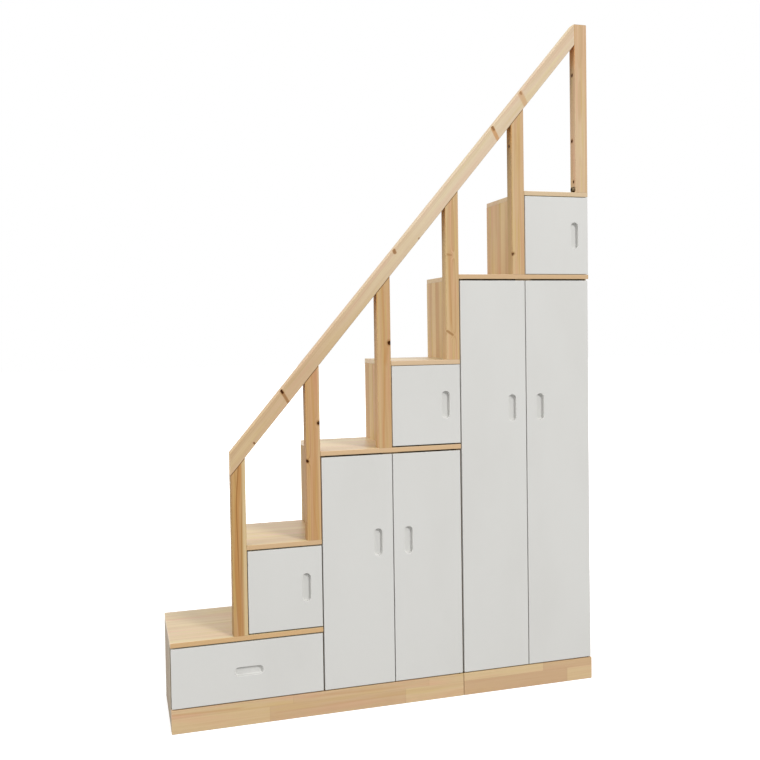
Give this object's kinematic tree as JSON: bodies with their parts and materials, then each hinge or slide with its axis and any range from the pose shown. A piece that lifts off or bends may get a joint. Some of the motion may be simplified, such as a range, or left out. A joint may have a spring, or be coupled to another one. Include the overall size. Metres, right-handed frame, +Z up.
{
  "type": "storage staircase",
  "caption": "Stair-shaped pine chest for a loft bed, with painted doors and a drawer under its treads and a sloping handrail on posts.",
  "frame": {"origin": "on the floor, in the middle of the footprint", "axes": "+X along the climb towards the top step, fronts face -Y, +Z up"},
  "size_m": [1.5, 0.345, 2.3696],
  "materials": {
    "pine_tread": "glued pine board, clear matt, pale, grain along the step",
    "pine_board": "glued pine board, clear matt",
    "pine_plinth": "finger-jointed pine, clear matt",
    "pine_post": "solid pine square stock with streaks and small knots, clear matt",
    "pine_rail": "solid pine square stock with a few knots, clear matt",
    "back_board": "thin ply",
    "beech_dowel": "fluted beech, unfinished",
    "white_paint": "satin white paint on board",
    "dark_steel": "dark plated steel bolt and washer",
    "steel": "zinc-plated steel"
  },
  "bodies": {
    "case": {"plinth_front_left": "pine_plinth", "plinth_front_right": "pine_plinth", "plinth_back_rails": "pine_board", "side_1_left": "pine_board", "side_2_left": "pine_board", "side_3_left": "pine_board", "side_3_right": "pine_board", "side_4_left": "pine_board", "side_4_right": "pine_board", "side_5_left": "pine_board", "side_5_right": "pine_board", "side_6_left": "pine_board", "side_6_right": "pine_board", "floor_1": "pine_board", "floor_3": "pine_board", "floor_5": "pine_board", "shelf_3": "pine_board", "shelves_5": "pine_board", "tread_1": "pine_tread", "tread_2": "pine_tread", "tread_3": "pine_tread", "tread_4": "pine_tread", "tread_5": "pine_tread", "tread_6": "pine_tread", "back_1": "back_board", "back_2": "back_board", "back_3": "back_board", "back_4": "back_board", "back_5": "back_board", "back_6": "back_board", "post_1": "pine_post", "post_2": "pine_post", "post_3": "pine_post", "post_4": "pine_post", "post_5": "pine_post", "post_6": "pine_post", "handrail": "pine_rail", "case_dowels": "beech_dowel", "rail_dowels": "beech_dowel", "hinge_pins": "steel", "post_bolts": "steel", "unit_bolts": "steel", "shelf_pegs": "steel", "foot_bolt": "dark_steel", "door_stops": "pine_board", "runner_channels": "steel"},
    "drawer": {"drawer_front": "white_paint", "drawer_left": "pine_board", "drawer_right": "pine_board", "drawer_back": "pine_board", "drawer_base": "back_board", "runner_rails": "steel"},
    "door_2": {"door_2": "white_paint"},
    "door_3_left": {"door_3_left": "white_paint"},
    "door_3_right": {"door_3_right": "white_paint"},
    "door_4": {"door_4": "white_paint"},
    "door_5_left": {"door_5_left": "white_paint"},
    "door_5_right": {"door_5_right": "white_paint"},
    "door_6": {"door_6": "white_paint"}
  },
  "joints": [
    {"name": "drawer_slide", "type": "slide", "parent": "case", "child": "drawer", "axis": [0, -1, 0], "range_m": [0, 0.23]},
    {"name": "door_2_hinge", "type": "hinge", "parent": "case", "child": "door_2", "pos_m": [-0.488, -0.1645, 0.4345], "axis": [0, 0, -1], "range_deg": [0, 110]},
    {"name": "door_3_left_hinge", "type": "hinge", "parent": "case", "child": "door_3_left", "pos_m": [-0.237, -0.1645, 0.473], "axis": [0, 0, -1], "range_deg": [0, 90]},
    {"name": "door_3_right_hinge", "type": "hinge", "parent": "case", "child": "door_3_right", "pos_m": [0.237, -0.1645, 0.473], "axis": [0, 0, 1], "range_deg": [0, 90]},
    {"name": "door_4_hinge", "type": "hinge", "parent": "case", "child": "door_4", "pos_m": [0.012, -0.1645, 1.0245], "axis": [0, 0, -1], "range_deg": [0, 110]},
    {"name": "door_5_left_hinge", "type": "hinge", "parent": "case", "child": "door_5_left", "pos_m": [0.263, -0.1645, 0.768], "axis": [0, 0, -1], "range_deg": [0, 90]},
    {"name": "door_5_right_hinge", "type": "hinge", "parent": "case", "child": "door_5_right", "pos_m": [0.737, -0.1645, 0.768], "axis": [0, 0, 1], "range_deg": [0, 110]},
    {"name": "door_6_hinge", "type": "hinge", "parent": "case", "child": "door_6", "pos_m": [0.512, -0.1645, 1.6145], "axis": [0, 0, -1], "range_deg": [0, 110]}
  ]
}
